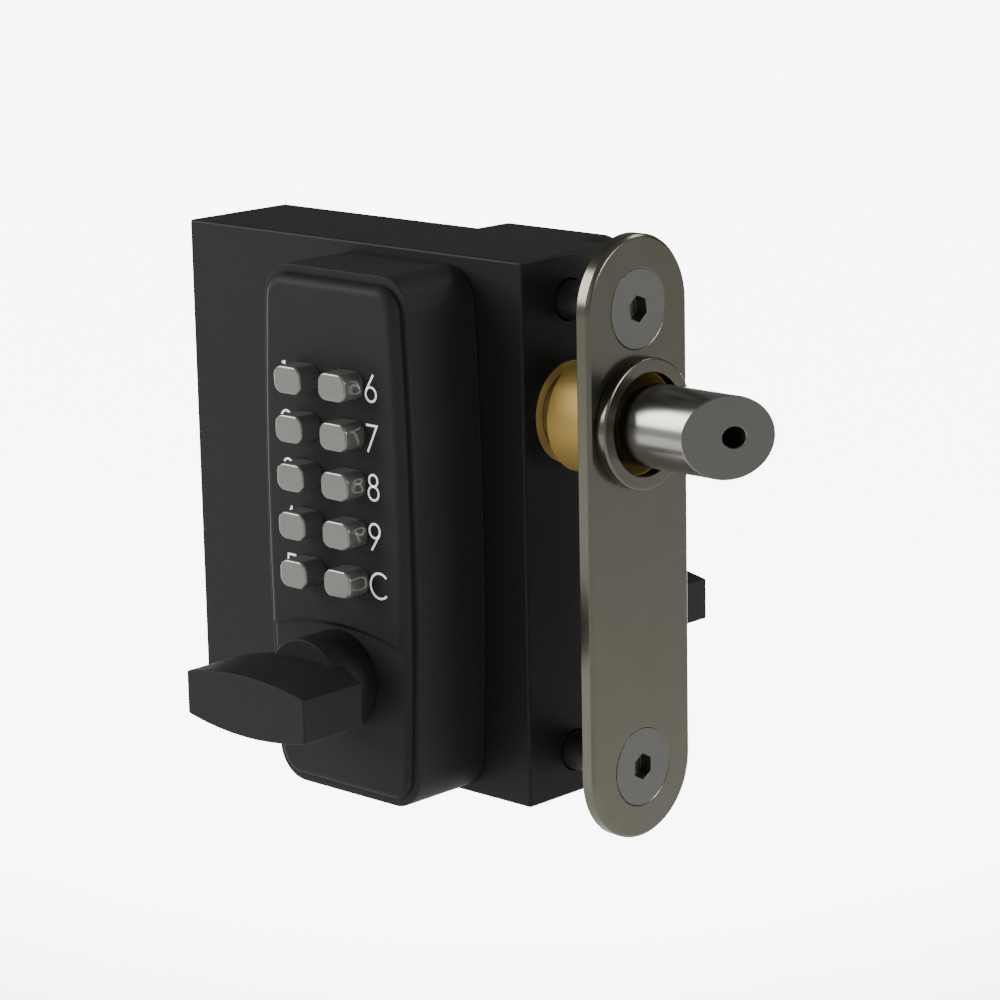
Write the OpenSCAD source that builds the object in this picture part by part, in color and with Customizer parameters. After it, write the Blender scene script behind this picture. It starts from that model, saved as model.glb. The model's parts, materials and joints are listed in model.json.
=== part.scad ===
// Code gate lock with its keypad in front, a free knob behind and a round bevelled bolt.
// X runs along the throw of the bolt, Y from front to back, Z up.
// The origin is the middle of the fixing face, where the lock case meets the gate's upright.

/* [Lock case] */
// Length of the lock case along the gate
case_l = 121; // [112:1:150]
// Height of the lock case
case_h = 140; // [126:1:170]
// Thickness of the lock case from front to back
case_t = 35; // [34:1:45]
// Wall of the lock case
case_wall = 3; // [2:0.5:4]
// Thickness of the rear cover
cover_t = 3; // [2.5:0.5:4]

/* [Faceplate] */
// Clear gap for the gate's upright
stile_gap = 18.7; // [15:0.1:50]
// Width of the faceplate
plate_w = 37; // [35:0.5:44]
// Thickness of the faceplate
plate_t = 4; // [4:0.5:6]
// Metal of the faceplate beyond each screw's centre
plate_end = 18.5; // [15:0.5:24]
// Bevel along the rim of the faceplate
plate_bevel = 0.8; // [0.3:0.1:1.5]
// Distance from the top and bottom of the case to the nearer fixing screw
screw_inset = 11.5; // [10.5:0.5:14]

/* [Fixing screws] */
// Diameter of a fixing screw's head
head_d = 20; // [18:0.5:22]
// Diameter of a fixing screw's shank
shank_d = 10; // [8:0.5:11]
// Width across flats of the socket in the head
socket_af = 6; // [5:0.5:8]
// Thickness of a tapped block
block_t = 12; // [8:1:14]

/* [Bolt] */
// Diameter of the bolt
bolt_d = 21; // [18:0.5:22]
// Distance of the bolt's axis below the top of the case
bolt_drop = 40; // [39.5:0.5:43]
// Reach of the bolt's tip beyond the faceplate
bolt_throw = 34.5; // [28:0.5:40]
// Angle of the bevel on the bolt's end
bolt_bevel = 30; // [0:1:35]
// Diameter of the hole in the bolt's end
bolt_hole_d = 5.4; // [4:0.2:7]
// How far that hole lies behind the bolt's axis
bolt_hole_shift = 1.3; // [0:0.1:1.6]
// Length of the hard pin in the bolt
hard_pin_l = 33; // [20:1:35]

/* [Collar] */
// Outer diameter of the collar
collar_d = 33; // [32:0.5:36]
// Clear hole through the collar
collar_bore_d = 26; // [24:0.5:27]
// How far the collar stands out of the faceplate
collar_rise = 3.1; // [2:0.1:5]
// Wall of the brass liner
liner_wall = 1.5; // [1:0.1:2]

/* [Housings] */
// Width of each housing at its middle
housing_w = 54.5; // [49:0.5:60]
// Margin of the case above and below a housing
housing_margin = 2; // [1:0.5:5]
// Depth from the case to the housing's rim
rim_depth = 23.7; // [22.5:0.1:30]
// Radius of the long bowed sides
side_bow_r = 1000; // [500:50:2000]
// Radius of the housing's corners
corner_r = 9; // [6:0.5:14]
// Wall of the housings
shell_wall = 2.8; // [2:0.1:3.4]
// Width of the flat rim round the pad
rim_w = 2.2; // [1:0.1:3]
// Height of the raised pad, and the radius of its edge
pad_rise = 3; // [2:0.1:3.5]
// Depth of the sunk panel round the knob
panel_sink = 1.2; // [0.5:0.1:1.4]
// Height of the slope from the pad down to the sunk panel
panel_slope = 1.3; // [0.5:0.1:1.5]
// Height of the sunk panel's arched top above the knob's axis
panel_top = 14.9; // [14.5:0.1:18]
// Radius of the sunk panel's arched top
panel_arch_r = 90; // [60:5:200]
// Distance from the fixing face to the housings' middle line
housing_back = 41.3; // [39:0.1:44]
// Thickness of the rubber gaskets
gasket_t = 1; // [0.5:0.1:1.5]

/* [Keys] */
// Width of a key
key_w = 9.5; // [8:0.1:10.5]
// Height of a key
key_h = 7.1; // [6:0.1:9]
// Radius of a key's corners
key_r = 2.6; // [1:0.1:2.8]
// How far a key stands out of the pad
key_rise = 6.5; // [4:0.1:9]
// Distance between the two columns of keys
key_pitch_x = 15.8; // [14.5:0.1:16.5]
// Distance of the keys' middle line from the housings', away from the plate
key_shift = 0.5; // [0:0.1:1]
// Distance of the top row below the housing's top
key_inset = 27.5; // [26:0.1:29]
// Height of the bottom row above the knobs' axis
key_foot = 27.4; // [27:0.1:29]
// Travel of a key
key_travel = 2.5; // [1.5:0.1:2.6]
// Gap round a key in its window
key_gap = 0.3; // [0.2:0.05:0.6]

/* [Knobs] */
// Height of the knobs' axis above the bottom of the case
knob_height = 32.5; // [32:0.1:34]
// Diameter of a knob's hub
hub_d = 25.8; // [24:0.2:28]
// Length of the hub in front of the panel
hub_l = 13; // [10:0.5:20]
// Length of the paddle grip
paddle_l = 42.4; // [32:0.2:50]
// Height of the paddle at its middle
paddle_h = 15.9; // [12:0.1:20]
// Height of the paddle at its ends
paddle_end_h = 11.1; // [8:0.1:11.5]
// Distance from the panel to the paddle's front
paddle_reach = 33.3; // [26:0.1:40]
// Depth of the paddle's end faces
paddle_end_t = 19.8; // [14:0.1:20.5]
// Length of the paddle's back facets along the grip
paddle_facet_l = 10.2; // [4:0.2:12]
// Depth of the paddle's back facets
paddle_facet_t = 3.7; // [2:0.1:4]

/* [Drive] */
// Module of the rack and the pinion
gear_module = 2.5; // [2.3:0.1:2.6]
// Number of teeth round the whole pinion
gear_teeth = 16; // [15:1:16]
// Turn of a knob from thrown to drawn back
knob_turn = 90; // [60:5:90]
// Width of the square spindle
spindle_w = 8; // [6:0.5:8]
// Lift of the code slide
slide_lift = 3; // [2:0.1:3]

/* [Hidden] */
$fn = 96;

// Colours
dark_coat = [0.16, 0.165, 0.165];
black_plastic = [0.1, 0.1, 0.105];
nickel = [0.55, 0.54, 0.5];
steel = [0.5, 0.49, 0.46];
zinc = [0.68, 0.69, 0.71];
brass = [0.72, 0.55, 0.2];
rubber = [0.06, 0.06, 0.06];
key_metal = [0.66, 0.66, 0.63];

// Clearances
running = 0.05;     // round fits that turn or slide
seat_gap = 0.3;     // between a moving piece and what it stops on
snug = 0.1;         // round flat pieces let into a seat
cut = 1;            // how far a cutting body runs past the face that it opens
merge = 0.5;        // how far joined bodies of one piece run into each other

// Heights of the knobs' axis
knob_z = knob_height - case_h / 2;

// Case
case_in_x0 = -case_l + case_wall;
case_in_x1 = -case_wall;
case_in_z = case_h / 2 - case_wall;
case_front_in = -case_t / 2 + case_wall;
cover_in = case_t / 2 - cover_t;
case_half_in = min(-case_front_in, cover_in);
corner_post_r = 4.5;
corner_post_x = [case_in_x0 + corner_post_r, case_in_x1 - block_t - corner_post_r - 2 * cut];
corner_post_z = case_in_z - corner_post_r;
cover_screw_r = 2;
cover_screw_head_r = 3.9;
cover_screw_l = 11;
cover_screw_gap = 0.2;
cover_socket_af = 2.5;
cover_socket_depth = 1.5;

// Faceplate, collar and screws
plate_back = stile_gap;
plate_front = stile_gap + plate_t;
screw_z = case_h / 2 - screw_inset;
head_neck_l = 0.2;
head_bevel_l = plate_t - head_neck_l;
head_gap = 0.15;
shank_gap = 0.5;
socket_depth = 3.4;
socket_turn = 34;     // the two screws come to rest at slightly different angles
socket_twist = 4;
block_half_w = 10;
block_below_screw = 9;
block_h = case_in_z - screw_z + block_below_screw;
collar_front = plate_front + collar_rise;
liner_r = collar_bore_d / 2 + liner_wall;
liner_back = 5;     // how far from the case the liner starts
collar_bevel = 0.3;

// Bolt
bolt_r = bolt_d / 2;
bolt_rise = case_h / 2 - bolt_drop;
bolt_axis_x = plate_front + bolt_throw - bolt_r * tan(bolt_bevel);
spigot_r = bolt_r * 2 / 3;
spigot_l = 14;
shoulder_x = -22;
guide_wall = 2.5;
guide_r = bolt_r + guide_wall;
guide_block_wall = 4.5;
guide_half_h = bolt_r + guide_block_wall;
hard_pin_x = 5;
carriage_l = 28;
carriage_wall = 1.5;
carriage_half_h = bolt_r + carriage_wall;
carriage_half_t = case_half_in - seat_gap;
carriage_x0 = shoulder_x - carriage_l;
carriage_pin_r = 2;
carriage_pin_x = shoulder_x - spigot_l / 2;
carriage_pin_inset = 1;
carriage_pin_half_l = carriage_half_h - carriage_pin_inset;

// Rack and pinion
pressure_angle = 20;
pitch_r = gear_module * gear_teeth / 2;
base_r = pitch_r * cos(pressure_angle);
tip_r = pitch_r + gear_module;
root_r = pitch_r - 1.25 * gear_module;
tooth_pitch = PI * gear_module;
flank_gap = 0.25;
tooth_w = tooth_pitch / 2 - flank_gap;
gear_half_t = 4;
mesh_margin = 25;
bolt_travel = pitch_r * knob_turn * PI / 180;
pitch_line_z = knob_z + pitch_r;
rack_addendum = 0.88 * gear_module;
rack_root = 1.16 * gear_module;
rack_back_t = 7.6;
rack_top_z = pitch_line_z + rack_root + rack_back_t;
rack_tail = 8;
rack_x0 = -housing_back - rack_tail;
rack_x1 = case_in_x1 - cut;
rack_half_t = 4.5;
foot_t = 4;
foot_inset = 2;
web_half_t = 3;
rack_screw_r = 2;
rack_screw_l = 5.5;
rack_screw_head_r = 3.5;
rack_screw_head_t = 2;
rack_screw_inset = 6;
rack_socket_af = 3;
rack_screw_x = [-housing_back - foot_inset, shoulder_x - rack_screw_inset];
pinion_hub_r = spindle_w * 1.125;
shoulder_w = 2;
pinion_shoulder_r = pinion_hub_r + shoulder_w;
bush_flange_t = 1.2;
bush_wall = 3;
follower_bush_r = pinion_hub_r + bush_wall;
follower_flange_r = follower_bush_r + shoulder_w;
spindle_reach = 10.8;

// Spring
spring_seat = 6;
spring_mean_r = 7.2;
spring_wire_r = 0.8;
spring_rod_r = 5;
spring_gap = 0.5;
spring_turns = 13;
spring_flange_t = 2;
spring_flange_w = 1;
spring_flange_r = spring_mean_r + spring_wire_r + spring_flange_w;
spring_x0 = case_in_x0 + spring_flange_t + seat_gap + spring_wire_r;
spring_x1 = carriage_x0 + spring_seat - seat_gap - spring_wire_r;
spring_rod_reach = 4.6;
spring_rod_l = carriage_x0 - bolt_travel - case_in_x0 - spring_rod_reach;

// Housings: depths are counted outwards from the face of the case
housing_z = -0.6;
housing_h = case_h - 2 * housing_margin;
pad_depth = rim_depth + pad_rise;
panel_depth = pad_depth - panel_sink;
shell_in = pad_depth - shell_wall;
post_r = 4.5;
through_r = 2.5;
through_inset = 10;
through_z = [for (side = [-1, 1]) housing_z + side * (housing_h / 2 - through_inset)];
through_hole = 0.3;
through_sink = 2.3;
through_seat = panel_depth - through_sink;
through_head_r = 4.3;
through_head_t = 2;
through_socket_af = 3;
through_socket_depth = 1.4;
gasket_inset = 0.4;
rear_post_r = 6;
blind_l = 17;
blind_depth = gasket_t + blind_l;

// Knob stems and their bushes
stem_r = 7;
bush_r = 9.5;
boss_r = 12;
bush_l = 10;
bush_in = panel_depth - bush_l;
bush_sink = 0.2;
circlip_t = 1;
circlip_w = 2.6;
circlip_opening = 5;
circlip_depth = bush_in - seat_gap - circlip_t;
groove_r = 6.2;
stem_end_l = 1.4;
stem_in = circlip_depth - stem_end_l;
grub_inset = 1.75;
grub_depth = panel_depth + hub_l / 2 - grub_inset;
grub_l = 6;
grub_socket_r = 1.4;
grub_socket_depth = 2.5;

// Rows of keys
key_rows = 5;
key_top = housing_z + housing_h / 2 - key_inset;
key_low = knob_z + key_foot;
key_pitch_z = (key_top - key_low) / (key_rows - 1);

// Code chamber, from the case outwards
tray_back = 2;
tray_wall = 2;
slide_back = tray_back + tray_wall + seat_gap;
slide_t = 2.5;
tumbler_t = 2.5;
tumbler_w = 7;
tumbler_h = 6;
gate_w = 1.6;
tumbler_front = slide_back + slide_t + tumbler_t;
stem_gap = 0.2;
stem_tip_l = 1.5;
stem_tip = tumbler_front + stem_gap + key_travel;
plate_depth = stem_tip + stem_tip_l;
key_plate_t = 2;
flange_t = 1.5;
flange_gap = 0.2;
flange_front = shell_in - flange_gap;
flange_edge = 1;
key_stem_r = 2;
key_bevel = 0.5;
key_wire_r = 0.3;
key_coil_r = key_stem_r + 0.75;
key_coil_turns = 4;
tray_side_gap = 10.75;
tray_half_w = housing_w / 2 - tray_side_gap;
tray_below_keys = 9.9;
tray_above_keys = 12.1;
tray_z = [key_low - tray_below_keys, key_top + tray_above_keys];
chamber_screw_r = 1.5;
chamber_ear = 3;
chamber_screw_inset = 6;
chamber_screw_end = 2;
chamber_head_r = 2.7;
chamber_head_t = 2;
chamber_socket_af = 2.5;
chamber_socket_depth = 1.2;
chamber_screw_x = tray_half_w + chamber_ear;
chamber_screw_z = [tray_z[0] + chamber_screw_inset, tray_z[1] - chamber_screw_inset];
ear_t = 2;
ear_half_h = 4;

// Clutch
cam_r = 10;
cam_throw = slide_lift / (2 * sin(knob_turn / 2));
cam_overlap = [1, 2];
cam_back = slide_back - cam_overlap[0];
cam_front = slide_back + slide_t + cam_overlap[1];
dog_slot = 2;
dog_l = 12;
dog_w = 4;
dog_flange_r = 7.5;
yoke_half_w = 16;
yoke_wall = 3;
cam_gap = 0.6;

function key_x(i) = -housing_back - key_shift + (i < key_rows ? -1 : 1) * key_pitch_x / 2;
function key_z(i) = key_top - (i % key_rows) * key_pitch_z;
function key_places() = [for (i = [0 : 2 * key_rows - 1]) [key_x(i), key_z(i)]];

// Points on an arc, both ends included
function arc_points(centre, r, a0, a1, steps) =
    [for (i = [0 : steps]) centre + r * [cos(a0 + (a1 - a0) * i / steps), sin(a0 + (a1 - a0) * i / steps)]];

// The same without its two ends
function inner_arc_points(centre, r, a0, a1, steps) =
    [for (i = [1 : steps - 1]) let (a = a0 + (a1 - a0) * i / steps) centre + r * [cos(a), sin(a)]];

// Rounded rectangle whose two long sides bow outwards, drawn in by inset all round
function bowed_outline(inset) =
    let (
        w = housing_w / 2 - inset,
        r = max(corner_r - inset, 1),
        bow = side_bow_r - inset,
        up = housing_h / 2 - inset - r,
        across = sqrt(pow(bow - r, 2) - pow(up, 2)) - (bow - w),
        lean = asin(up / (bow - r))
    )
    concat(
        inner_arc_points([w - bow, 0], bow, -lean, lean, 10),
        arc_points([across, up], r, lean, 90, 8),
        arc_points([-across, up], r, 90, 180 - lean, 8),
        inner_arc_points([bow - w, 0], bow, 180 - lean, 180 + lean, 10),
        arc_points([-across, -up], r, 180 + lean, 270, 8),
        arc_points([across, -up], r, 270, 360 - lean, 8)
    );

// Rounded rectangle
function round_outline(w, h, r) =
    concat(
        arc_points([w / 2 - r, h / 2 - r], r, 0, 90, 6),
        arc_points([r - w / 2, h / 2 - r], r, 90, 180, 6),
        arc_points([r - w / 2, r - h / 2], r, 180, 270, 6),
        arc_points([w / 2 - r, r - h / 2], r, 270, 360, 6)
    );

// A flat shape in X and Z, made solid from depth d0 to d1 in front of the case
module outward(d0, d1) {
    translate([0, -case_t / 2 - d0, 0]) rotate([90, 0, 0]) linear_extrude(d1 - d0) children();
}

// A flat shape in X and Z, made solid from y0 to y1
module slab_y(y0, y1) {
    translate([0, y1, 0]) rotate([90, 0, 0]) linear_extrude(y1 - y0) children();
}

// A flat shape in Y and Z, made solid from x0 to x1
module slab_x(x0, x1) {
    translate([x0, 0, 0]) rotate([90, 0, 90]) linear_extrude(x1 - x0) children();
}

// A round bar along X at height z
module bar_x(r, x0, x1, z = 0) {
    slab_x(x0, x1) translate([0, z]) circle(r);
}

// A block between two corners
module block(a, b) {
    translate(a) cube(b - a);
}

module at_housing() {
    translate([-housing_back, 0, housing_z]) children();
}

module at_knob() {
    translate([-housing_back, 0, knob_z]) children();
}

module to_rear() {
    mirror([0, 1, 0]) children();
}

module at_through_bolts() {
    for (z = through_z) translate([-housing_back, 0, z]) children();
}

module at_chamber_screws() {
    for (side = [-1, 1], z = chamber_screw_z)
        translate([-housing_back + side * chamber_screw_x, 0, z]) children();
}

module at_cover_screws() {
    for (x = corner_post_x, side = [-1, 1]) translate([x, 0, side * corner_post_z]) children();
}

// A hexagon by its width across flats
module hexagon(flats) {
    circle(flats / sqrt(3), $fn = 6);
}

// A round wire wound along Z between two heights, its ends cut square
module coil(mean_r, wire_r, z0, z1, turns, sides, rings) {
    steps = turns * rings;
    climb = atan((z1 - z0) / (turns * 2 * PI * mean_r));
    points = [
        for (i = [0 : steps], k = [0 : sides - 1])
            let (
                a = 360 * i / rings,
                b = 360 * k / sides,
                out = mean_r + wire_r * cos(b),
                along = wire_r * sin(b)
            )
            [
                out * cos(a) + along * sin(climb) * sin(a),
                out * sin(a) - along * sin(climb) * cos(a),
                z0 + (z1 - z0) * i / steps + along * cos(climb)
            ]
    ];
    sides_faces = [
        for (i = [0 : steps - 1], k = [0 : sides - 1], half = [0, 1])
            let (a = i * sides + k, b = i * sides + (k + 1) % sides)
            half == 0 ? [a, a + sides, b + sides] : [a, b + sides, b]
    ];
    start = [for (k = [1 : sides - 2]) [0, k, k + 1]];
    end = [for (k = [1 : sides - 2]) [steps * sides, steps * sides + k + 1, steps * sides + k]];
    polyhedron(points, concat(sides_faces, start, end));
}

// Lock case

module case_body() {
    color(dark_coat) difference() {
        union() {
            difference() {
                block([-case_l, -case_t / 2, -case_h / 2], [0, case_t / 2, case_h / 2]);
                block([case_in_x0, case_front_in, -case_in_z], [case_in_x1, case_t / 2 + cut, case_in_z]);
            }
            at_cover_screws() slab_y(case_front_in - merge, cover_in) circle(corner_post_r);
        }
        bar_x(guide_r + running, -case_wall - cut, cut, bolt_rise);
        for (side = [-1, 1]) bar_x(shank_d / 2 + shank_gap, -case_wall - cut, cut, side * screw_z);
        at_knob() slab_y(-case_t / 2 - cut, case_front_in + cut) circle(follower_bush_r + running);
        at_through_bolts() slab_y(-case_t / 2 - cut, case_front_in + cut) circle(through_r + through_hole);
        at_cover_screws() slab_y(case_t / 2 - cover_screw_l - cut, cover_in + cut)
            circle(cover_screw_r + running);
    }
}

module case_cover() {
    color(dark_coat) difference() {
        block(
            [case_in_x0 + snug, cover_in, -case_in_z + snug],
            [case_in_x1 - snug, case_t / 2, case_in_z - snug]
        );
        at_knob() slab_y(cover_in - cut, case_t / 2 + cut) circle(follower_bush_r + running);
        at_through_bolts() slab_y(cover_in - cut, case_t / 2 + cut) circle(through_r + through_hole);
        at_cover_screws() {
            slab_y(cover_in - cut, case_t / 2 + cut) circle(cover_screw_r + cover_screw_gap);
            countersink(cover_screw_head_r + cover_screw_gap, cover_screw_r + cover_screw_gap);
        }
    }
}

// A cone that sinks a screw head flush with the rear cover
module countersink(r_top, r_low) {
    depth = r_top - r_low;
    translate([0, case_t / 2 - depth, 0]) rotate([-90, 0, 0]) cylinder(r1 = r_low, r2 = r_top, h = depth);
}

module cover_screws() {
    color(zinc) at_cover_screws() difference() {
        union() {
            countersink(cover_screw_head_r, cover_screw_r);
            slab_y(case_t / 2 - cover_screw_l, case_t / 2 - merge) circle(cover_screw_r);
        }
        slab_y(case_t / 2 - cover_socket_depth, case_t / 2 + cut) hexagon(cover_socket_af);
    }
}

module threaded_blocks() {
    color(zinc) for (side = [-1, 1]) mirror([0, 0, side < 0 ? 1 : 0]) difference() {
        block([case_in_x1 - block_t, -block_half_w, case_in_z - block_h],
            [case_in_x1, block_half_w, case_in_z]);
        bar_x(shank_d / 2 + running, case_in_x1 - block_t - cut, case_in_x1 + cut, screw_z);
    }
}

// Faceplate, collar and fixing screws

// One end of the faceplate, bevelled round its rim
module plate_end_disc() {
    translate([plate_back, 0, 0]) rotate([0, 90, 0]) {
        cylinder(r = plate_w / 2, h = plate_t - plate_bevel);
        translate([0, 0, plate_t - plate_bevel])
            cylinder(r1 = plate_w / 2, r2 = plate_w / 2 - plate_bevel, h = plate_bevel);
    }
}

module faceplate() {
    end_z = screw_z + plate_end - plate_w / 2;
    color(nickel) difference() {
        union() {
            for (side = [-1, 1]) translate([0, 0, side * end_z]) plate_end_disc();
            translate([0, 0, -end_z]) linear_extrude(2 * end_z) polygon([
                [plate_back, -plate_w / 2],
                [plate_front - plate_bevel, -plate_w / 2],
                [plate_front, -plate_w / 2 + plate_bevel],
                [plate_front, plate_w / 2 - plate_bevel],
                [plate_front - plate_bevel, plate_w / 2],
                [plate_back, plate_w / 2]
            ]);
        }
        for (side = [-1, 1]) translate([0, 0, side * screw_z]) screw_head(head_gap);
        bar_x(liner_r + running, plate_back - cut, plate_front + cut, bolt_rise);
    }
}

// The head and neck of a fixing screw, grown by gap to cut its seat
module screw_head(gap) {
    low_r = head_d / 2 - head_bevel_l;
    translate([plate_front - head_bevel_l, 0, 0]) rotate([0, 90, 0]) {
        cylinder(r1 = low_r + gap, r2 = head_d / 2 + gap, h = head_bevel_l);
        if (gap > 0) translate([0, 0, -cut - plate_t]) cylinder(r = low_r + gap, h = cut + plate_t + gap);
    }
}

module fixing_screws() {
    color(zinc) for (side = [-1, 1]) translate([0, 0, side * screw_z]) difference() {
        union() {
            screw_head(0);
            bar_x(shank_d / 2, case_in_x1 - block_t + cut, plate_front - head_bevel_l + merge);
        }
        slab_x(plate_front - socket_depth, plate_front + cut) rotate(socket_turn + side * socket_twist)
            hexagon(socket_af);
    }
}

module bolt_collar() {
    bore_r = collar_bore_d / 2;
    color(nickel) translate([0, 0, bolt_rise]) rotate([0, 90, 0]) rotate_extrude() polygon([
        [bore_r, plate_front],
        [collar_d / 2, plate_front],
        [collar_d / 2, collar_front - collar_bevel],
        [collar_d / 2 - collar_bevel, collar_front],
        [bore_r, collar_front]
    ]);
}

module bolt_liner() {
    color(brass) difference() {
        bar_x(liner_r, liner_back, plate_front - seat_gap, bolt_rise);
        bar_x(collar_bore_d / 2, liner_back - cut, plate_front + cut, bolt_rise);
    }
}

// Bolt and what rides on it

module bolt_guide() {
    color(brass) difference() {
        union() {
            block(
                [shoulder_x + seat_gap, -carriage_half_t, bolt_rise - guide_half_h],
                [case_in_x1, carriage_half_t, bolt_rise + guide_half_h]
            );
            bar_x(guide_r, case_in_x1 - merge, 0, bolt_rise);
        }
        bar_x(bolt_r + running, shoulder_x - cut, cut, bolt_rise);
    }
}

module bolt() {
    color(steel) difference() {
        union() {
            bar_x(bolt_r, shoulder_x, plate_front + bolt_throw + cut, bolt_rise);
            bar_x(spigot_r, shoulder_x - spigot_l, shoulder_x + merge, bolt_rise);
        }
        translate([bolt_axis_x, 0, bolt_rise]) rotate([0, 0, -bolt_bevel])
            translate([0, -2 * bolt_d, -bolt_d]) cube([3 * bolt_d, 4 * bolt_d, 2 * bolt_d]);
        translate([0, bolt_hole_shift, 0])
            bar_x(bolt_hole_d / 2, hard_pin_x, plate_front + bolt_throw + cut, bolt_rise);
        translate([carriage_pin_x, 0, bolt_rise - carriage_half_h])
            cylinder(r = carriage_pin_r + running, h = 2 * carriage_half_h);
    }
}

module hardened_pin() {
    color(steel) translate([0, bolt_hole_shift, 0])
        bar_x(bolt_hole_d / 2 - running, hard_pin_x, hard_pin_x + hard_pin_l, bolt_rise);
}

module bolt_carriage() {
    foot_z = rack_top_z;
    color(zinc) difference() {
        union() {
            block(
                [carriage_x0, -carriage_half_t, bolt_rise - carriage_half_h],
                [shoulder_x, carriage_half_t, bolt_rise + carriage_half_h]
            );
            block(
                [carriage_x0 + foot_inset, -web_half_t, foot_z],
                [shoulder_x - foot_inset, web_half_t, bolt_rise - carriage_half_h + merge]
            );
            block(
                [carriage_x0 + foot_inset, -rack_half_t, foot_z],
                [shoulder_x - foot_inset, rack_half_t, foot_z + foot_t]
            );
        }
        bar_x(spigot_r + running, shoulder_x - spigot_l, shoulder_x + cut, bolt_rise);
        bar_x(spring_mean_r + spring_wire_r + spring_gap, carriage_x0 - cut, carriage_x0 + spring_seat,
            bolt_rise);
        translate([carriage_pin_x, 0, bolt_rise - carriage_half_h - cut])
            cylinder(r = carriage_pin_r + running, h = 2 * carriage_half_h + 2 * cut);
        for (x = rack_screw_x) translate([x, 0, foot_z - cut]) {
            cylinder(r = rack_screw_r + running, h = foot_t + 2 * cut);
            translate([0, 0, foot_t + cut - merge])
                cylinder(r = rack_screw_head_r + seat_gap, h = merge + rack_screw_head_t + seat_gap);
        }
    }
}

module carriage_pin() {
    color(steel) translate([carriage_pin_x, 0, bolt_rise - carriage_pin_half_l])
        cylinder(r = carriage_pin_r, h = 2 * carriage_pin_half_l);
}

// Teeth point down, and their gaps lie over the pinion's teeth
module rack() {
    half_tip = tooth_w / 2 - rack_addendum * tan(pressure_angle);
    half_root = tooth_w / 2 + rack_root * tan(pressure_angle);
    teeth = [-1 : floor((rack_x1 + housing_back) / tooth_pitch)];
    color(steel) difference() {
        slab_y(-rack_half_t, rack_half_t) intersection() {
            union() {
                translate([rack_x0, pitch_line_z + rack_root])
                    square([rack_x1 - rack_x0, rack_top_z - pitch_line_z - rack_root]);
                for (k = teeth) translate([-housing_back + (k + 0.5) * tooth_pitch, pitch_line_z]) polygon([
                    [-half_tip, -rack_addendum],
                    [half_tip, -rack_addendum],
                    [half_root, rack_root],
                    [half_root, rack_root + merge],
                    [-half_root, rack_root + merge],
                    [-half_root, rack_root]
                ]);
            }
            translate([rack_x0, pitch_line_z - tip_r]) square([rack_x1 - rack_x0, 2 * tip_r]);
        }
        for (x = rack_screw_x) translate([x, 0, rack_top_z - rack_screw_l - merge])
            cylinder(r = rack_screw_r + running, h = rack_screw_l + merge + cut);
    }
}

module rack_screws() {
    under_head = rack_screw_l + foot_t - merge;
    color(zinc) for (x = rack_screw_x) translate([x, 0, rack_top_z - rack_screw_l]) difference() {
        union() {
            cylinder(r = rack_screw_r, h = under_head + merge);
            translate([0, 0, under_head]) cylinder(r = rack_screw_head_r, h = rack_screw_head_t + merge);
        }
        translate([0, 0, under_head + merge])
            linear_extrude(rack_screw_head_t + cut) hexagon(rack_socket_af);
    }
}

module bolt_spring() {
    color(steel) translate([0, 0, bolt_rise]) rotate([0, 90, 0])
        coil(spring_mean_r, spring_wire_r, spring_x0, spring_x1, spring_turns, sides = 8, rings = 10);
}

module spring_rod() {
    color(zinc) {
        bar_x(spring_flange_r, case_in_x0, case_in_x0 + spring_flange_t, bolt_rise);
        bar_x(spring_rod_r, case_in_x0, case_in_x0 + spring_rod_l, bolt_rise);
    }
}

// Pinion, spindle and their bearings

function involute(a) = tan(a) * 180 / PI - a;
function half_tooth_angle(r) =
    tooth_w / pitch_r * 90 / PI + involute(pressure_angle) - involute(acos(min(1, base_r / r)));

// One tooth pointing up
module gear_tooth() {
    steps = 6;
    flank = [
        for (i = [0 : steps])
            let (r = base_r + (tip_r - base_r) * i / steps)
            [r, half_tooth_angle(r)]
    ];
    foot = [root_r - cut, half_tooth_angle(base_r)];
    right = [for (p = concat([foot], flank)) p[0] * [sin(p[1]), cos(p[1])]];
    left = [for (i = [len(right) - 1 : -1 : 0]) [-right[i][0], right[i][1]]];
    polygon(concat(right, left));
}

module pinion() {
    step = 360 / gear_teeth;
    first = -ceil((knob_turn + mesh_margin) / step);
    color(steel) at_knob() difference() {
        union() {
            slab_y(-gear_half_t, gear_half_t) {
                circle(root_r);
                for (k = [first : 1]) rotate(k * step) gear_tooth();
            }
            slab_y(-case_t / 2 + seat_gap, case_t / 2 - seat_gap) circle(pinion_hub_r);
            slab_y(case_front_in + bush_flange_t + seat_gap, cover_in - bush_flange_t - seat_gap)
                circle(pinion_shoulder_r);
        }
        slab_y(-case_t, case_t) square(spindle_w + snug, center = true);
    }
}

module follower_bushes() {
    color(brass) at_knob() difference() {
        union() {
            slab_y(-case_t / 2, case_front_in + merge) circle(follower_bush_r);
            slab_y(case_front_in, case_front_in + bush_flange_t) circle(follower_flange_r);
            slab_y(cover_in - merge, case_t / 2) circle(follower_bush_r);
            slab_y(cover_in - bush_flange_t, cover_in) circle(follower_flange_r);
        }
        slab_y(-case_t, case_t) circle(pinion_hub_r + running);
    }
}

module spindle() {
    color(steel) at_knob() slab_y(-case_t / 2 - tray_back, case_t / 2 + panel_depth + spindle_reach)
        square(spindle_w, center = true);
}

module clutch_dog() {
    color(steel) at_knob() difference() {
        union() {
            outward(-seat_gap, tray_back) circle(dog_flange_r);
            outward(tray_back, cam_back + dog_slot - seat_gap) square([dog_l, dog_w], center = true);
        }
        outward(-cut, tray_back) square(spindle_w + snug, center = true);
    }
}

// Long screws that clamp the two housings

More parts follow.
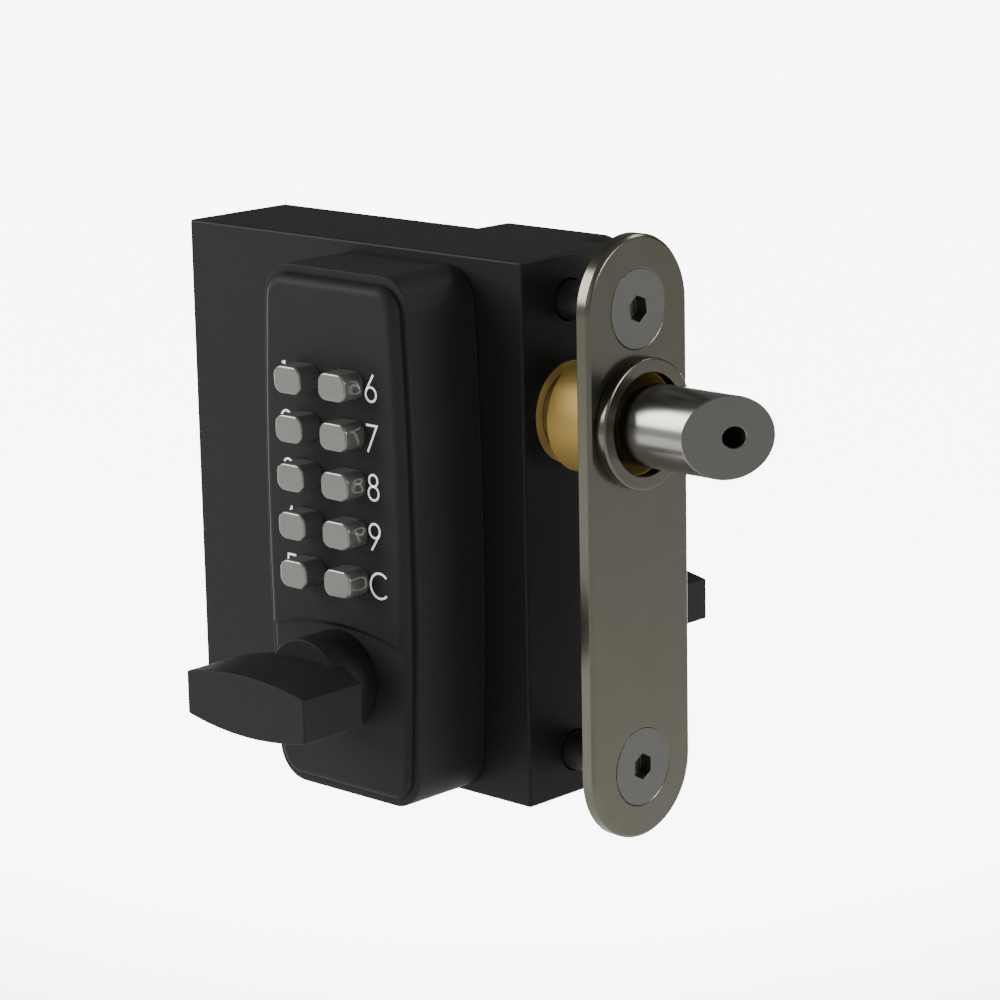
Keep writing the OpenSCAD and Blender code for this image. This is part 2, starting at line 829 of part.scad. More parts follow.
module through_bolts() {
    rear_y = case_t / 2 + through_seat;
    color(zinc) at_through_bolts() difference() {
        union() {
            slab_y(-case_t / 2 - blind_depth + cut, rear_y + merge) circle(through_r);
            slab_y(rear_y, rear_y + through_head_t) circle(through_head_r);
        }
        slab_y(rear_y + through_head_t - through_socket_depth, rear_y + through_head_t + cut)
            hexagon(through_socket_af);
    }
}

// Housings

// A field raised out of the rim, with a rounded edge
module field(rise) {
    at_housing() hull() for (a = [0 : 15 : 90])
        outward(rim_depth + rise * sin(a) - merge, rim_depth + rise * sin(a))
            polygon(bowed_outline(rim_w + rise * (1 - cos(a))));
}

// The sunk panel, and above its arched edge the full pad
module pad() {
    field(pad_rise - panel_sink);
    difference() {
        field(pad_rise);
        at_knob() hull() {
            outward(pad_depth, pad_depth + cut) below_arch(0);
            outward(rim_depth - merge - cut, panel_depth) below_arch(panel_slope);
        }
    }
}

// The area under the panel's arched top, lowered by drop
module below_arch(drop) {
    intersection() {
        translate([0, panel_top - drop - panel_arch_r]) circle(panel_arch_r, $fn = 360);
        translate([-housing_w, -housing_h]) square([2 * housing_w, housing_h + panel_top]);
    }
}

// The shell that both housings share, with posts of the given radius for the long screws
module housing_shell(screw_post_r) {
    difference() {
        union() {
            difference() {
                union() {
                    at_housing() outward(gasket_t, rim_depth) polygon(bowed_outline(0));
                    pad();
                }
                at_housing() outward(gasket_t - cut, rim_depth - shell_wall)
                    polygon(bowed_outline(shell_wall));
                at_housing() outward(gasket_t, shell_in) polygon(bowed_outline(shell_wall + rim_w));
            }
            at_through_bolts() outward(gasket_t, shell_in + merge) circle(screw_post_r);
            at_knob() outward(bush_in, shell_in + merge) circle(boss_r);
        }
        at_knob() outward(bush_in - cut, pad_depth + cut) circle(bush_r + running);
    }
}

module keypad_housing() {
    color(black_plastic) difference() {
        union() {
            housing_shell(post_r);
            at_chamber_screws() outward(plate_depth + key_plate_t, shell_in + merge) circle(chamber_ear);
        }
        for (p = key_places()) translate([p[0], 0, p[1]]) outward(shell_in - cut, pad_depth + cut)
            polygon(round_outline(key_w + 2 * key_gap, key_h + 2 * key_gap, key_r + key_gap));
        at_through_bolts() outward(gasket_t - cut, blind_depth) circle(through_r + running);
        at_chamber_screws() outward(plate_depth + key_plate_t - cut, shell_in - chamber_screw_end + cut)
            circle(chamber_screw_r + running);
    }
}

module rear_housing() {
    color(black_plastic) to_rear() difference() {
        housing_shell(rear_post_r);
        at_through_bolts() outward(gasket_t - cut, pad_depth + cut) circle(through_r + through_hole);
        at_through_bolts() outward(through_seat, pad_depth + cut) circle(through_head_r + through_hole);
    }
}

module gasket(screw_post_r) {
    difference() {
        at_housing() outward(0, gasket_t) polygon(bowed_outline(gasket_inset));
        at_housing() outward(-cut, gasket_t + cut) polygon(bowed_outline(shell_wall));
    }
    at_through_bolts() outward(0, gasket_t) difference() {
        circle(screw_post_r);
        circle(through_r + through_hole);
    }
}

module front_gasket() {
    color(rubber) gasket(post_r);
}

module rear_gasket() {
    color(rubber) to_rear() gasket(rear_post_r);
}

// Keys and the code chamber

// One key: cap, flange behind the housing's wall and stem
module key(i) {
    face = pad_depth + key_rise;
    color(key_metal) translate([key_x(i), 0, key_z(i)]) {
        outward(flange_front - merge, face - key_bevel) polygon(round_outline(key_w, key_h, key_r));
        hull() {
            outward(face - key_bevel - merge, face - key_bevel) polygon(round_outline(key_w, key_h, key_r));
            outward(face - key_bevel, face)
                polygon(round_outline(key_w - 2 * key_bevel, key_h - 2 * key_bevel, key_r - key_bevel));
        }
        outward(flange_front - flange_t, flange_front)
            polygon(round_outline(key_w + 2 * flange_edge, key_h + 2 * flange_edge, key_r));
        outward(stem_tip, flange_front - flange_t + merge) circle(key_stem_r);
    }
}

module key_springs() {
    low = plate_depth + key_plate_t + key_wire_r + snug;
    high = flange_front - flange_t - key_wire_r - snug;
    color(steel) for (p = key_places()) translate([p[0], -case_t / 2, p[1]]) rotate([90, 0, 0])
        coil(key_coil_r, key_wire_r, low, high, key_coil_turns, sides = 6, rings = 8);
}

module key_plate() {
    color(zinc) difference() {
        outward(plate_depth, plate_depth + key_plate_t)
            translate([-housing_back - chamber_screw_x - chamber_ear, tray_z[0] + tray_wall])
                square([2 * (chamber_screw_x + chamber_ear), tray_z[1] - tray_z[0] - 2 * tray_wall]);
        for (p = key_places()) translate([p[0], 0, p[1]])
            outward(plate_depth - cut, plate_depth + key_plate_t + cut) circle(key_stem_r + running);
        at_chamber_screws() outward(plate_depth - cut, plate_depth + key_plate_t + cut)
            circle(chamber_screw_r + snug);
    }
}

module chamber_body() {
    x = -housing_back;
    color(zinc) difference() {
        union() {
            outward(tray_back, plate_depth) translate([x - tray_half_w, tray_z[0]])
                square([2 * tray_half_w, tray_z[1] - tray_z[0]]);
            for (z = chamber_screw_z) outward(plate_depth - ear_t, plate_depth)
                translate([x - chamber_screw_x - chamber_ear, z - ear_half_h])
                    square([2 * (chamber_screw_x + chamber_ear), 2 * ear_half_h]);
        }
        outward(tray_back + tray_wall, plate_depth + cut)
            translate([x - tray_half_w + tray_wall, tray_z[0] - cut])
                square([2 * (tray_half_w - tray_wall), tray_z[1] - tray_z[0] - tray_wall + cut]);
        at_chamber_screws() outward(plate_depth - ear_t - cut, plate_depth + cut)
            circle(chamber_screw_r + snug);
    }
}

module chamber_screws() {
    back = plate_depth - ear_t;
    color(zinc) at_chamber_screws() difference() {
        union() {
            outward(back - chamber_head_t, back) circle(chamber_head_r);
            outward(back - merge, shell_in - chamber_screw_end) circle(chamber_screw_r);
        }
        outward(back - chamber_head_t - cut, back - chamber_head_t + chamber_socket_depth)
            hexagon(chamber_socket_af);
    }
}

// The slide's yoke goes round the cam, whose middle lies half the lift below the knob's axis
module code_slide() {
    x = -housing_back;
    half_w = tray_half_w - tray_wall - seat_gap;
    cam_swing = [cam_throw * cos(knob_turn / 2), cam_throw];
    window_x0 = cam_swing[0] - cam_r - cam_gap;
    window_x1 = cam_swing[1] + cam_r + cam_gap;
    window_half_h = cam_r + seat_gap;
    window_z = knob_z - slide_lift / 2;
    slide_top = tray_z[1] - tray_wall - slide_lift - cam_gap;
    color(zinc) outward(slide_back, slide_back + slide_t) difference() {
        union() {
            translate([x - half_w, window_z]) square([2 * half_w, slide_top - window_z]);
            translate([x - yoke_half_w, window_z - window_half_h - yoke_wall])
                square([2 * yoke_half_w, 2 * (window_half_h + yoke_wall)]);
        }
        translate([x + window_x0, window_z - window_half_h])
            square([window_x1 - window_x0, 2 * window_half_h]);
    }
}

module tumblers() {
    color(brass) for (p = key_places()) translate([p[0], 0, p[1]])
        outward(slide_back + slide_t, tumbler_front) difference() {
            square([tumbler_w, tumbler_h], center = true);
            translate([0, -tumbler_h / 2]) square([gate_w, tumbler_h / 2], center = true);
        }
}

// Knobs

// Hub and paddle, from the sunk panel outwards
module knob_grip() {
    base = panel_depth + seat_gap;
    front = panel_depth + paddle_reach;
    end_back = front - paddle_end_t;
    half_l = paddle_l / 2;
    rise = (paddle_h - paddle_end_h) / 2;
    arch_r = (pow(half_l, 2) + pow(rise, 2)) / (2 * rise);
    outward(base, panel_depth + hub_l) circle(hub_d / 2);
    intersection() {
        outward(end_back - paddle_facet_t, front) intersection() {
            translate([0, paddle_h / 2 - arch_r]) circle(arch_r, $fn = 360);
            translate([0, arch_r - paddle_h / 2]) circle(arch_r, $fn = 360);
            square([paddle_l, paddle_h], center = true);
        }
        translate([0, -case_t / 2, -paddle_h]) linear_extrude(2 * paddle_h) polygon([
            [-half_l, -front],
            [half_l, -front],
            [half_l, -end_back],
            [half_l - paddle_facet_l, -end_back + paddle_facet_t],
            [paddle_facet_l - half_l, -end_back + paddle_facet_t],
            [-half_l, -end_back]
        ]);
    }
}

// The round stem behind the hub, with its ring groove
module knob_stem() {
    difference() {
        outward(stem_in, panel_depth + seat_gap + merge) circle(stem_r);
        outward(circlip_depth - snug, circlip_depth + circlip_t + snug) difference() {
            circle(stem_r + cut);
            circle(groove_r);
        }
    }
}

module front_knob() {
    color(black_plastic) at_knob() {
        knob_grip();
        knob_stem();
        outward(cam_back + dog_slot + cam_gap, stem_in + merge) square(spindle_w, center = true);
    }
}

module rear_knob() {
    color(black_plastic) at_knob() to_rear() difference() {
        union() {
            knob_grip();
            knob_stem();
        }
        outward(stem_in - cut, panel_depth + spindle_reach + seat_gap)
            square(spindle_w + snug, center = true);
        translate([0, -case_t / 2 - grub_depth, -hub_d]) cylinder(r = through_r + running, h = hub_d);
    }
}

module rear_grub_screw() {
    color(zinc) at_knob() to_rear()
        translate([0, -case_t / 2 - grub_depth, -spindle_w / 2 - grub_l]) difference() {
            cylinder(r = through_r, h = grub_l);
            translate([0, 0, -cut]) cylinder(r = grub_socket_r, h = grub_socket_depth + cut, $fn = 6);
        }
}

module knob_bush() {
    at_knob() outward(bush_in, panel_depth - bush_sink) difference() {
        circle(bush_r);
        circle(stem_r + running);
    }
}

module front_knob_bush() {
    color(brass) knob_bush();
}

module rear_knob_bush() {
    color(brass) to_rear() knob_bush();
}

// An open ring that snaps into the stem's groove
module circlip() {
    at_knob() outward(circlip_depth, circlip_depth + circlip_t) difference() {
        circle(groove_r + circlip_w);
        circle(groove_r + running);
        translate([-circlip_opening / 2, -groove_r - circlip_w - cut])
            square([circlip_opening, groove_r + circlip_w + cut]);
    }
}

module front_circlip() {
    color(steel) circlip();
}

module rear_circlip() {
    color(steel) to_rear() circlip();
}

// Eccentric that lifts the code slide, with a slot behind it for the dog
module clutch_cam() {
    color(steel) at_knob() difference() {
        outward(cam_back, cam_front)
            translate(cam_throw * [cos(knob_turn / 2), -sin(knob_turn / 2)]) circle(cam_r);
        outward(cam_back - cut, cam_front + cut) square(spindle_w + snug, center = true);
        outward(cam_back - cut, cam_back + dog_slot)
            square([dog_l + 2 * seat_gap, dog_w + 2 * seat_gap], center = true);
    }
}

case_body();
case_cover();
cover_screws();
threaded_blocks();
fixing_screws();
faceplate();
bolt_collar();
bolt_liner();
bolt_guide();
bolt();
hardened_pin();
bolt_carriage();
carriage_pin();
rack();
rack_screws();
bolt_spring();
spring_rod();
pinion();
follower_bushes();
spindle();
through_bolts();
keypad_housing();
front_gasket();
key(0);  // key_1
key(1);  // key_2
key(2);  // key_3
key(3);  // key_4
key(4);  // key_5
key(5);  // key_6
key(6);  // key_7
key(7);  // key_8
key(8);  // key_9
key(9);  // key_c
key_springs();
key_plate();
chamber_body();
chamber_screws();
code_slide();
tumblers();
front_knob();
front_knob_bush();
front_circlip();
clutch_cam();
clutch_dog();
rear_housing();
rear_gasket();
rear_knob();
rear_knob_bush();
rear_circlip();
rear_grub_screw();
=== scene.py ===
import json
import math

import bmesh
import bpy
from bpy.props import FloatProperty, FloatVectorProperty, PointerProperty
from mathutils import Matrix, Vector


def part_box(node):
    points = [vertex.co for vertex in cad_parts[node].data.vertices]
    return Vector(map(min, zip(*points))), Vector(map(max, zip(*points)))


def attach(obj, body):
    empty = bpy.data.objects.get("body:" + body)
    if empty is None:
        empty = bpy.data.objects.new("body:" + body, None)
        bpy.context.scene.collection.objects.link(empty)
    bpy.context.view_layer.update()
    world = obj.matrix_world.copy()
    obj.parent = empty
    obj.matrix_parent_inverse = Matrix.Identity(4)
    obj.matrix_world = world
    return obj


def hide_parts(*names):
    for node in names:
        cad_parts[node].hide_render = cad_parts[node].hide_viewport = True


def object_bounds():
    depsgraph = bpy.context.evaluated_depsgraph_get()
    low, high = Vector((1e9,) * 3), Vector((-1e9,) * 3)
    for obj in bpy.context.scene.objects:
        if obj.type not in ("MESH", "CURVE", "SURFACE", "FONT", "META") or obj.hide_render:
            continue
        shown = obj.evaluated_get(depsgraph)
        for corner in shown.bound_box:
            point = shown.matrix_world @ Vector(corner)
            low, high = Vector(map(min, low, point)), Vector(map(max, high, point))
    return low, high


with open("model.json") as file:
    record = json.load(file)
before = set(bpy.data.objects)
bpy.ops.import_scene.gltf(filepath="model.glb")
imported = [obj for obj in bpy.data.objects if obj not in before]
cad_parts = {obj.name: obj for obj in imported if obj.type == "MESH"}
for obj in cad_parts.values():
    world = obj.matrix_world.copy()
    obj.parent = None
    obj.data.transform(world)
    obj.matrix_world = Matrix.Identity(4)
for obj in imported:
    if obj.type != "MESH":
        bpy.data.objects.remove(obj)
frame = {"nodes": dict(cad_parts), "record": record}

bl_info = {
    "name": "Code gate lock finish",
    "version": (1, 0, 0),
    "blender": (4, 5, 0),
    "location": "View3D > Sidebar > Gate lock",
    "description": "Dresses the packed code gate lock: edges, keypad, knobs, legends and finishes",
    "category": "Object",
}

MM = 0.001
CAD_BOX = [list(corner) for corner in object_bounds()]
SLOT_OF = {row["node"]: row["material_slot"] for row in frame["record"]["subparts"]}
BODY_OF = {node: body for body, nodes in frame["record"]["behaviour"]["bodies"].items() for node in nodes}

# Places read from the frame. A depth is counted outwards from the case's face, in front or behind.
CASE_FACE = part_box("case_body")[1].y
HOUSING_LOW, HOUSING_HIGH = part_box("keypad_housing")
HOUSING_X = (HOUSING_LOW.x + HOUSING_HIGH.x) / 2
HOUSING_Z = (HOUSING_LOW.z + HOUSING_HIGH.z) / 2
GASKET_DEPTH = -HOUSING_HIGH.y - CASE_FACE
PAD_DEPTH = -HOUSING_LOW.y - CASE_FACE
KNOB_LOW, KNOB_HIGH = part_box("front_knob")
KNOB_X = (KNOB_LOW.x + KNOB_HIGH.x) / 2
KNOB_Z = (KNOB_LOW.z + KNOB_HIGH.z) / 2
KNOB_FRONT = -KNOB_LOW.y - CASE_FACE
HUB_RADIUS = (KNOB_HIGH.z - KNOB_LOW.z) / 2
PADDLE_HALF = (KNOB_HIGH.x - KNOB_LOW.x) / 2
KEY_NODES = ["key_" + mark for mark in "123456789c"]

# How far one form sinks into the next, and how far a cut runs past its end
SINK = 0.5 * MM
OVERRUN = MM

# Shape of the housings
PAD_RISE = 3 * MM
RIM_DEPTH = PAD_DEPTH - PAD_RISE
PANEL_SINK = 1.2 * MM
PANEL_SLOPE = 1.3 * MM
PANEL_ARCH = 90 * MM
PANEL_TOP = 14.9 * MM
SHELL_WALL = 2.8 * MM
RIM_WIDTH = 2.2 * MM
SIDE_BOW = 1.0
CORNER_RADIUS = 9 * MM
BUSH_HOLE = 9.55 * MM
WINDOW_GAP = 0.1 * MM
SCREW_GAP = 0.3 * MM
SCREW_SEAT_DEPTH = 23.2 * MM
SCREW_SEAT_RADIUS = 4.6 * MM
SCREW_POST_RADIUS = 6 * MM

# Shape of the keys
KEY_WIDTH = 9.5 * MM
KEY_HEIGHT = 7.1 * MM
KEY_CORNER = 2.6 * MM
KEY_FLANGE_EDGE = 1 * MM
KEY_FLANGE_DEPTHS = (22.2 * MM, 23.7 * MM)
KEY_STEM_RADIUS = 2 * MM

# Shape of the knobs
HUB_BACK = 25.8 * MM
HUB_FRONT = 38.5 * MM
STEM_RADIUS = 7 * MM
STEM_BACK = 13 * MM
PADDLE_MID = 15.9 * MM
PADDLE_END = 11.1 * MM
PADDLE_END_BACK = 39 * MM
PADDLE_BACK = 35.3 * MM
PADDLE_FACET = 10.2 * MM
PADDLE_CORNER = 0.4 * MM
GRUB_RADIUS = 2.55 * MM
GRUB_GAP = 0.2 * MM

# Legends, placed from the housing's middle line across and from a key's middle upwards
LEGEND_X_LEFT = -15.65 * MM
LEGEND_X_RIGHT = 14.9 * MM
LEGEND_X_C = 16.2 * MM
LEGEND_DROP = 0.35 * MM
LEGEND_ROOT = 0.1 * MM
COLUMN_SPLIT = 7.5 * MM

# Strokes of the legends, in millimetres: where level and round strokes lie, and where upright ones end
STROKE_HALF = 3.24
STROKE_END = 3.6

# Copies of the CAD nodes with rounded edges. Turns are in degrees.
WELD_GAP = 0.002 * MM
FLAT_TURN = 0.6
SHARP_TURN = 28
RIM_REACH = 0.01 * MM
COVER_EDGE = 0.15 * MM
SCREW_EDGE = 0.12 * MM

# Surroundings: a floor well below the lock, with a bright wedge where the camera looks past the lock.
# A wedge or ramp is given by two cosines or heights.
FLOOR_DROP = 0.6
FLOOR_REACH = 30
AWAY = (-0.6875, 0.7262, 0)
GLOW_START = 0.35
GLOW_WEDGE = (0.7, 0.87)
NEAR_GLOW = 0.4
FAR_GLOW = 8
LIGHT_HEIGHTS = (0.1, 0.8)
HORIZON_LIGHT = 0.38
CEILING_LIGHT = 0.3
BACK_WEDGE = (0.2, 0.6)
BACK_LIGHT = 0.5

# Soft lights, all turned to one target: name, place, width, height and power
LIGHT_TARGET = (-0.03, 0, 0)
LIGHTS = (
    ("front_left", (-2.37, -1.93, 1.42), 1.5, 2.05, 96),
    ("front_right", (1.3, -1.9, 0.9), 1.2, 1.2, 4.5),
    ("right", (2.0, 0.8, 0.6), 0.6, 0.6, 19),
    ("back_right", (0.6, 1.8, 1.7), 0.7, 0.5, 8),
)

# The photograph's camera. Its angles are azimuth, elevation and roll in degrees.
CAMERA_PLACE = (0.5737, -0.6326, 0.2071)
CAMERA_ANGLES = (43.430, 13.155, -1.129)
CAMERA_LENS = 125.16
CAMERA_SENSOR = 36
CAMERA_REACH = 50


# Settings

class LockSizes(bpy.types.PropertyGroup):
    metal_edge: FloatProperty(
        name="Metal edge", description="Rounding of the edges of plates and screws",
        default=0.25 * MM, unit="LENGTH")
    case_edge: FloatProperty(
        name="Case edge", description="Rounding of the lock case's edges", default=0.7 * MM, unit="LENGTH")
    plastic_edge: FloatProperty(
        name="Plastic edge", description="Rounding of the knobs' and rims' edges",
        default=0.4 * MM, unit="LENGTH")
    key_edge: FloatProperty(
        name="Key edge", description="Rounding round a key's face", default=0.55 * MM, unit="LENGTH")
    legend_stroke: FloatProperty(
        name="Legend stroke", description="Width of the legends' lines", default=0.56 * MM, unit="LENGTH")
    legend_rise: FloatProperty(
        name="Legend rise", description="Height of the legends above the pad",
        default=0.04 * MM, unit="LENGTH")


class LockColours(bpy.types.PropertyGroup):
    coat: FloatVectorProperty(
        name="Case coat", description="Powder coat of the lock case", subtype="COLOR", size=3,
        default=(0.0125, 0.0128, 0.0125))
    plastic: FloatVectorProperty(
        name="Black moulding", description="Housings and knobs", subtype="COLOR", size=3,
        default=(0.0195, 0.0201, 0.0203))
    satin: FloatVectorProperty(
        name="Faceplate", description="Satin metal of the faceplate and collar", subtype="COLOR", size=3,
        default=(0.142, 0.136, 0.108))
    steel: FloatVectorProperty(
        name="Bolt steel", description="Ground steel of the bolt", subtype="COLOR", size=3,
        default=(0.335, 0.33, 0.304))
    screw: FloatVectorProperty(
        name="Screws", description="Plated screws", subtype="COLOR", size=3, default=(0.15, 0.149, 0.141))
    key: FloatVectorProperty(
        name="Keys", description="Metal of the keys", subtype="COLOR", size=3, default=(0.235, 0.235, 0.218))
    brass: FloatVectorProperty(
        name="Brass", description="Liner and bushes", subtype="COLOR", size=3, default=(0.56, 0.38, 0.1))
    legend: FloatVectorProperty(
        name="Legends", description="Paint of the legends", subtype="COLOR", size=3,
        default=(0.9, 0.91, 0.9))
    floor: FloatVectorProperty(
        name="Floor", description="Pale floor", subtype="COLOR", size=3, default=(0.9, 0.9, 0.9))


def sizes():
    return bpy.context.scene.lock_sizes


def colours():
    return bpy.context.scene.lock_colours


# Shader expressions

class Socket:
    """A shader socket that can stand in a Python expression."""

    def __init__(self, finish, socket):
        self.finish = finish
        self.socket = socket

    def _math(self, operation, first, second):
        return self.finish.node("ShaderNodeMath", {"operation": operation}, {0: first, 1: second})

    def __add__(self, other):
        return self._math("ADD", self, other)

    __radd__ = __add__

    def __mul__(self, other):
        return self._math("MULTIPLY", self, other)

    __rmul__ = __mul__

    def __sub__(self, other):
        return self._math("SUBTRACT", self, other)

    def __rsub__(self, other):
        return self._math("SUBTRACT", other, self)


class Shading:
    """A node tree whose sockets take numbers or expressions by name."""

    def __init__(self, tree):
        self.tree = tree

    def fill(self, node, values):
        for key, value in values.items():
            if isinstance(value, Socket):
                self.tree.links.new(value.socket, node.inputs[key])
            else:
                node.inputs[key].default_value = value

    def node(self, kind, settings=None, values=None, output=0):
        made = self.tree.nodes.new(kind)
        for key, value in (settings or {}).items():
            if key == "stops":
                for element, (position, grey) in zip(made.color_ramp.elements, value):
                    element.position = position
                    element.color = (grey, grey, grey, 1)
            else:
                setattr(made, key, value)
        self.fill(made, values or {})
        return Socket(self, made.outputs[output])


class Finish(Shading):
    """One material with its usual patterns."""

    def __init__(self, name, colour, **constants):
        self.material = bpy.data.materials.new(name)
        self.material.use_nodes = True
        super().__init__(self.material.node_tree)
        self.shader = self.tree.nodes["Principled BSDF"]
        self.colour = (*colour, 1)
        self.fill(self.shader, {"Base Color": self.colour, **constants})

    def grain(self, size, stretch=(1, 1, 1), detail=3):
        """Noise whose specks are about size across, drawn out along the axes by stretch."""
        place = self.node("ShaderNodeTexCoord", output=3)
        steps = tuple(1 / (size * factor) for factor in stretch)
        point = self.node("ShaderNodeVectorMath", {"operation": "MULTIPLY"}, {0: place, 1: steps})
        return self.node("ShaderNodeTexNoise", None, {"Vector": point, "Scale": 1, "Detail": detail})

    def facing(self, axis):
        """How far the surface faces along X (0), Y (1) or Z (2)."""
        normal = self.node("ShaderNodeNewGeometry", output=1)
        return self.node("ShaderNodeSeparateXYZ", None, {0: normal}, axis)

    def tint(self, mask, darker):
        """Base colour that falls to the share darker of itself where the mask is low."""
        low = tuple(channel * darker for channel in self.colour[:3]) + (1,)
        mixed = self.node("ShaderNodeMix", {"data_type": "RGBA"}, {0: mask, 6: low, 7: self.colour}, 2)
        self.fill(self.shader, {"Base Color": mixed})

    def rough(self, value):
        self.fill(self.shader, {"Roughness": value})

    def emboss(self, height, depth):
        bump = self.node("ShaderNodeBump", None, {"Strength": 1, "Distance": depth, "Height": height})
        self.fill(self.shader, {"Normal": bump})


# Finishes, one for each material slot and one for the legends

def powder_coat():
    finish = Finish("powder_coat", colours().coat, **{"Specular IOR Level": 0.2})
    peel = finish.grain(0.6 * MM)
    patches = finish.grain(25 * MM)
    finish.tint(patches, 0.86)
    finish.rough(0.42 + 0.16 * peel)
    finish.emboss(peel, 0.02 * MM)
    return finish.material


def black_moulding():
    finish = Finish("black_moulding", colours().plastic, **{"Specular IOR Level": 0.15})
    spark = finish.grain(0.35 * MM)
    patches = finish.grain(18 * MM)
    finish.tint(patches, 0.88)
    finish.rough(0.46 + 0.18 * spark)
    finish.emboss(spark, 0.012 * MM)
    return finish.material


def metal(name, colour, roughness, line, stretch, depth):
    """Metal with fine finishing lines drawn out along the axes by stretch."""
    finish = Finish(name, colour, Metallic=1)
    lines = finish.grain(line, stretch)
    clouds = finish.grain(12 * MM)
    finish.tint(clouds, 0.9)
    finish.rough(roughness - 0.05 + 0.1 * lines)
    finish.emboss(lines, depth)
    return finish


def satin_plate():
    return metal("satin_plate", colours().satin, 0.23, 0.12 * MM, (1, 1, 60), 0.002 * MM).material


def ground_steel():
    """Full colour along the bolt's sides, with painted shade on faces that point along +X, such as its end:
    there the base colour falls to 0.45 of itself.
    """
    finish = metal("ground_steel", colours().steel, 0.24, 0.2 * MM, (0.6, 14, 14), 0.0004 * MM)
    across = finish.facing(0)
    painted_end_shade = finish.node("ShaderNodeValToRGB", {"stops": ((0.3, 1), (0.6, 0))}, {0: across})
    # Painted shade: the base colour is darkened where the surface faces +X
    finish.tint(painted_end_shade, 0.45)
    return finish.material


def plated_screw():
    return metal("plated_screw", colours().screw, 0.42, 0.15 * MM, (1, 1, 1), 0.002 * MM).material


def turned_brass():
    """Brass dulled by handling, so that it shows in the shade of the collar."""
    finish = metal("turned_brass", colours().brass, 0.45, 0.1 * MM, (0.6, 10, 10), 0.001 * MM)
    finish.fill(finish.shader, {"Metallic": 0.4})
    return finish.material


def key_metal():
    """Satin on the faces that point to the user, polished on the sides."""
    finish = metal("key_metal", colours().key, 0.4, 0.25 * MM, (1, 1, 1), 0.002 * MM)
    forward = -1 * finish.facing(1)
    face = finish.node("ShaderNodeValToRGB", {"stops": ((0.96, 0), (0.99, 1))}, {0: forward})
    cloud = finish.grain(0.6 * MM)
    finish.rough(0.14 + 0.26 * face + 0.06 * cloud)
    finish.fill(finish.shader, {"Metallic": 0.6 + 0.4 * face})
    return finish.material


def gasket_rubber():
    finish = Finish("gasket_rubber", (0.02, 0.02, 0.02))
    speck = finish.grain(0.3 * MM)
    finish.rough(0.7 + 0.2 * speck)
    finish.emboss(speck, 0.01 * MM)
    return finish.material


def glowing_legend_paint():
    # Painted light: the legends glow faintly, with emission at strength 0.45 on top of their white paint
    finish = Finish("glowing_legend_paint", colours().legend, **{"Emission Strength": 0.45})
    speck = finish.grain(0.25 * MM)
    finish.tint(speck, 0.93)
    finish.rough(0.4 + 0.2 * speck)
    return finish.material


FINISHES = {
    "dark_coat": powder_coat,
    "black_plastic": black_moulding,
    "nickel": satin_plate,
    "steel": ground_steel,
    "key_metal": key_metal,
    "zinc": plated_screw,
    "brass": turned_brass,
    "rubber": gasket_rubber,
    "legend": glowing_legend_paint,
}
made_finishes = {}


def finish_of(slot):
    if slot not in made_finishes:
        made_finishes[slot] = FINISHES[slot]()
    return made_finishes[slot]


# Outlines: points in X and Z round a closed shape

def arc(centre, radius, start, end, steps, whole=True):
    """Points on an arc in degrees, with or without its two ends."""
    wanted = range(steps + 1) if whole else range(1, steps)
    turns = [math.radians(start + (end - start) * i / steps) for i in wanted]
    return [(centre[0] + radius * math.cos(t), centre[1] + radius * math.sin(t)) for t in turns]


def circle(radius, steps=96):
    return arc((0, 0), radius, 0, 360, steps)[:-1]


def round_rectangle(width, height, radius, steps=8):
    x, z = width / 2 - radius, height / 2 - radius
    corners = (((x, z), 0), ((-x, z), 90), ((-x, -z), 180), ((x, -z), 270))
    return [point for centre, start in corners for point in arc(centre, radius, start, start + 90, steps)]


def housing_outline(inset):
    """Rounded rectangle with bowed long sides, drawn in by inset all round."""
    half = (HOUSING_HIGH.x - HOUSING_LOW.x) / 2 - inset
    radius = max(CORNER_RADIUS - inset, MM)
    bow = SIDE_BOW - inset
    up = (HOUSING_HIGH.z - HOUSING_LOW.z) / 2 - inset - radius
    across = math.sqrt((bow - radius) ** 2 - up ** 2) - (bow - half)
    lean = math.degrees(math.asin(up / (bow - radius)))
    points = arc((half - bow, 0), bow, -lean, lean, 24, whole=False)
    points += arc((across, up), radius, lean, 90, 16)
    points += arc((-across, up), radius, 90, 180 - lean, 16)
    points += arc((bow - half, 0), bow, 180 - lean, 180 + lean, 24, whole=False)
    points += arc((-across, -up), radius, 180 + lean, 270, 16)
    points += arc((across, -up), radius, 270, 360 - lean, 16)
    return points


def paddle_outline(half, inset):
    """Outline of the paddle between its two arches, half long each way, drawn in by inset."""
    rise = (PADDLE_MID - PADDLE_END) / 2
    arch = (PADDLE_HALF ** 2 + rise ** 2) / (2 * rise)
    corner = PADDLE_CORNER
    reach = half - inset - corner

    def height(x):
        return PADDLE_MID / 2 - inset - arch + math.sqrt(arch ** 2 - x ** 2)

    steps = 32
    top = [(reach * (1 - 2 * i / steps), height(reach * (1 - 2 * i / steps))) for i in range(steps + 1)]
    end = height(reach) - corner
    left = arc((-reach, end), corner, 90, 180, 3)
    right = arc((reach, end), corner, 0, 90, 3)
    upper = right[:-1] + top + left[1:]
    return upper + [(-x, -z) for x, z in upper]


def below_arch(drop):
    """The area under the sunk panel's arched top, lowered by drop."""
    arch = arc((0, PANEL_TOP - PANEL_ARCH - drop), PANEL_ARCH, 60, 120, 90)
    return arch + [(arch[-1][0], -2 * PANEL_ARCH), (arch[0][0], -2 * PANEL_ARCH)]


def turned_edge(radius, depth, steps=4):
    """Inset and depth down a rounded edge whose face lies at depth."""
    turns = [math.pi / 2 * i / steps for i in range(steps + 1)]
    return [(radius * (1 - math.cos(t)), depth - radius * (1 - math.sin(t))) for t in turns]


# Meshes

